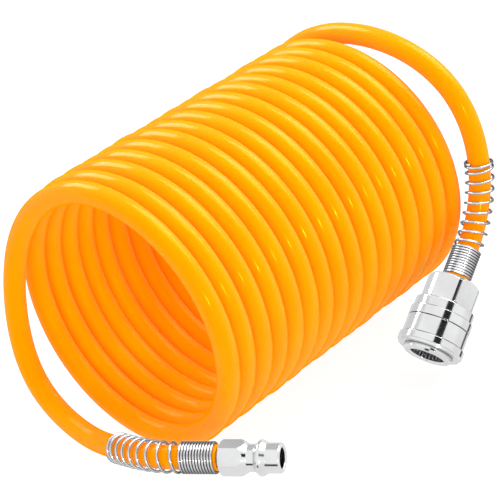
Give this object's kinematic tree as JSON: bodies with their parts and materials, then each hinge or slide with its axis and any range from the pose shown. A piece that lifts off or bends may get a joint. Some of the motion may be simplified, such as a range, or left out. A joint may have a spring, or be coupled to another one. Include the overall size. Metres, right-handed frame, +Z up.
{
  "type": "recoil air hose",
  "caption": "Coiled compressed-air hose that stretches and springs back, with a quick-coupling plug on one end and a quick-coupling socket with a sliding sleeve on the other.",
  "frame": {"origin": "on the floor under the middle of the whole hose, with the coil lying on its side", "axes": "+Y along the coil's axis from the plug end to the socket end, +Z up, +X to the right seen from the plug end"},
  "size_m": [0.1294, 0.1676, 0.1085],
  "materials": {
    "hose": "glossy, slightly translucent orange polyurethane",
    "steel": "nickel-plated steel, bright turned",
    "spring_wire": "bright spring wire",
    "balls": "polished steel",
    "brass": "turned brass",
    "seals": "matt black rubber"
  },
  "bodies": {
    "plug_end": {"hose_plug_tail": "hose", "plug_body": "steel", "plug_guard_spring": "spring_wire"},
    "turn_01": {"hose_turn_01": "hose"},
    "turn_02": {"hose_turn_02": "hose"},
    "turn_03": {"hose_turn_03": "hose"},
    "turn_04": {"hose_turn_04": "hose"},
    "turn_05": {"hose_turn_05": "hose"},
    "turn_06": {"hose_turn_06": "hose"},
    "turn_07": {"hose_turn_07": "hose"},
    "turn_08": {"hose_turn_08": "hose"},
    "turn_09": {"hose_turn_09": "hose"},
    "turn_10": {"hose_turn_10": "hose"},
    "turn_11": {"hose_turn_11": "hose"},
    "turn_12": {"hose_turn_12": "hose"},
    "turn_13": {"hose_turn_13": "hose"},
    "turn_14": {"hose_turn_14": "hose"},
    "turn_15": {"hose_turn_15": "hose"},
    "socket_end": {"hose_socket_tail": "hose", "socket_adaptor": "steel", "socket_body": "steel", "socket_guard_spring": "spring_wire", "plug_seal": "seals", "valve_spring": "spring_wire"},
    "spring_ring": {"sleeve_spring": "spring_wire"},
    "sleeve": {"socket_sleeve": "steel"},
    "valve": {"valve_poppet": "brass", "valve_seal": "seals"},
    "ball_1": {"locking_ball_1": "balls"},
    "ball_2": {"locking_ball_2": "balls"},
    "ball_3": {"locking_ball_3": "balls"},
    "ball_4": {"locking_ball_4": "balls"},
    "ball_5": {"locking_ball_5": "balls"},
    "ball_6": {"locking_ball_6": "balls"}
  },
  "joints": [
    {"name": "coil_stretch", "type": "slide", "parent": "plug_end", "child": "socket_end", "axis": [0, 1, 0], "range_m": [0, 0.9], "stiffness_N_per_m": 8},
    {"name": "turn_01_slide", "type": "slide", "parent": "plug_end", "child": "turn_01", "axis": [0, 1, 0], "range_m": [0, 0.05625]},
    {"name": "turn_02_slide", "type": "slide", "parent": "plug_end", "child": "turn_02", "axis": [0, 1, 0], "range_m": [0, 0.1125]},
    {"name": "turn_03_slide", "type": "slide", "parent": "plug_end", "child": "turn_03", "axis": [0, 1, 0], "range_m": [0, 0.16875]},
    {"name": "turn_04_slide", "type": "slide", "parent": "plug_end", "child": "turn_04", "axis": [0, 1, 0], "range_m": [0, 0.225]},
    {"name": "turn_05_slide", "type": "slide", "parent": "plug_end", "child": "turn_05", "axis": [0, 1, 0], "range_m": [0, 0.28125]},
    {"name": "turn_06_slide", "type": "slide", "parent": "plug_end", "child": "turn_06", "axis": [0, 1, 0], "range_m": [0, 0.3375]},
    {"name": "turn_07_slide", "type": "slide", "parent": "plug_end", "child": "turn_07", "axis": [0, 1, 0], "range_m": [0, 0.39375]},
    {"name": "turn_08_slide", "type": "slide", "parent": "plug_end", "child": "turn_08", "axis": [0, 1, 0], "range_m": [0, 0.45]},
    {"name": "turn_09_slide", "type": "slide", "parent": "plug_end", "child": "turn_09", "axis": [0, 1, 0], "range_m": [0, 0.50625]},
    {"name": "turn_10_slide", "type": "slide", "parent": "plug_end", "child": "turn_10", "axis": [0, 1, 0], "range_m": [0, 0.5625]},
    {"name": "turn_11_slide", "type": "slide", "parent": "plug_end", "child": "turn_11", "axis": [0, 1, 0], "range_m": [0, 0.61875]},
    {"name": "turn_12_slide", "type": "slide", "parent": "plug_end", "child": "turn_12", "axis": [0, 1, 0], "range_m": [0, 0.675]},
    {"name": "turn_13_slide", "type": "slide", "parent": "plug_end", "child": "turn_13", "axis": [0, 1, 0], "range_m": [0, 0.73125]},
    {"name": "turn_14_slide", "type": "slide", "parent": "plug_end", "child": "turn_14", "axis": [0, 1, 0], "range_m": [0, 0.7875]},
    {"name": "turn_15_slide", "type": "slide", "parent": "plug_end", "child": "turn_15", "axis": [0, 1, 0], "range_m": [0, 0.84375]},
    {"name": "sleeve_spin", "type": "hinge", "parent": "socket_end", "child": "spring_ring", "pos_m": [0.05097, 0.03849, 0.01674], "axis": [0.105, -0.7909, -0.6029], "continuous": true},
    {"name": "sleeve_slide", "type": "slide", "parent": "spring_ring", "child": "sleeve", "axis": [-0.105, 0.7909, 0.6029], "range_m": [0, 0.003], "stiffness_N_per_m": 2500, "springref_m": -0.004, "deforming": ["sleeve_spring"]},
    {"name": "ball_1_slide", "type": "slide", "parent": "socket_end", "child": "ball_1", "axis": [0.9722, 0.2091, -0.105], "range_m": [0, 0.00145]},
    {"name": "ball_2_slide", "type": "slide", "parent": "socket_end", "child": "ball_2", "axis": [0.6672, -0.3935, 0.6324], "range_m": [0, 0.00145]},
    {"name": "ball_3_slide", "type": "slide", "parent": "socket_end", "child": "ball_3", "axis": [-0.305, -0.6026, 0.7374], "range_m": [0, 0.00145]},
    {"name": "ball_4_slide", "type": "slide", "parent": "socket_end", "child": "ball_4", "axis": [-0.9722, -0.2091, 0.105], "range_m": [0, 0.00145]},
    {"name": "ball_5_slide", "type": "slide", "parent": "socket_end", "child": "ball_5", "axis": [-0.6672, 0.3935, -0.6324], "range_m": [0, 0.00145]},
    {"name": "ball_6_slide", "type": "slide", "parent": "socket_end", "child": "ball_6", "axis": [0.305, 0.6026, -0.7374], "range_m": [0, 0.00145]},
    {"name": "valve_slide", "type": "slide", "parent": "socket_end", "child": "valve", "axis": [-0.105, 0.7909, 0.6029], "range_m": [0, 0.0048], "stiffness_N_per_m": 900, "springref_m": -0.003, "deforming": ["valve_spring"]}
  ],
  "couplings": [
    {"joint": "turn_01_slide", "follows": "coil_stretch", "ratio": 0.0625},
    {"joint": "turn_02_slide", "follows": "coil_stretch", "ratio": 0.125},
    {"joint": "turn_03_slide", "follows": "coil_stretch", "ratio": 0.1875},
    {"joint": "turn_04_slide", "follows": "coil_stretch", "ratio": 0.25},
    {"joint": "turn_05_slide", "follows": "coil_stretch", "ratio": 0.3125},
    {"joint": "turn_06_slide", "follows": "coil_stretch", "ratio": 0.375},
    {"joint": "turn_07_slide", "follows": "coil_stretch", "ratio": 0.4375},
    {"joint": "turn_08_slide", "follows": "coil_stretch", "ratio": 0.5},
    {"joint": "turn_09_slide", "follows": "coil_stretch", "ratio": 0.5625},
    {"joint": "turn_10_slide", "follows": "coil_stretch", "ratio": 0.625},
    {"joint": "turn_11_slide", "follows": "coil_stretch", "ratio": 0.6875},
    {"joint": "turn_12_slide", "follows": "coil_stretch", "ratio": 0.75},
    {"joint": "turn_13_slide", "follows": "coil_stretch", "ratio": 0.8125},
    {"joint": "turn_14_slide", "follows": "coil_stretch", "ratio": 0.875},
    {"joint": "turn_15_slide", "follows": "coil_stretch", "ratio": 0.9375},
    {"joint": "ball_1_slide", "follows": "sleeve_slide", "ratio": 0.48333},
    {"joint": "ball_2_slide", "follows": "sleeve_slide", "ratio": 0.48333},
    {"joint": "ball_3_slide", "follows": "sleeve_slide", "ratio": 0.48333},
    {"joint": "ball_4_slide", "follows": "sleeve_slide", "ratio": 0.48333},
    {"joint": "ball_5_slide", "follows": "sleeve_slide", "ratio": 0.48333},
    {"joint": "ball_6_slide", "follows": "sleeve_slide", "ratio": 0.48333}
  ]
}
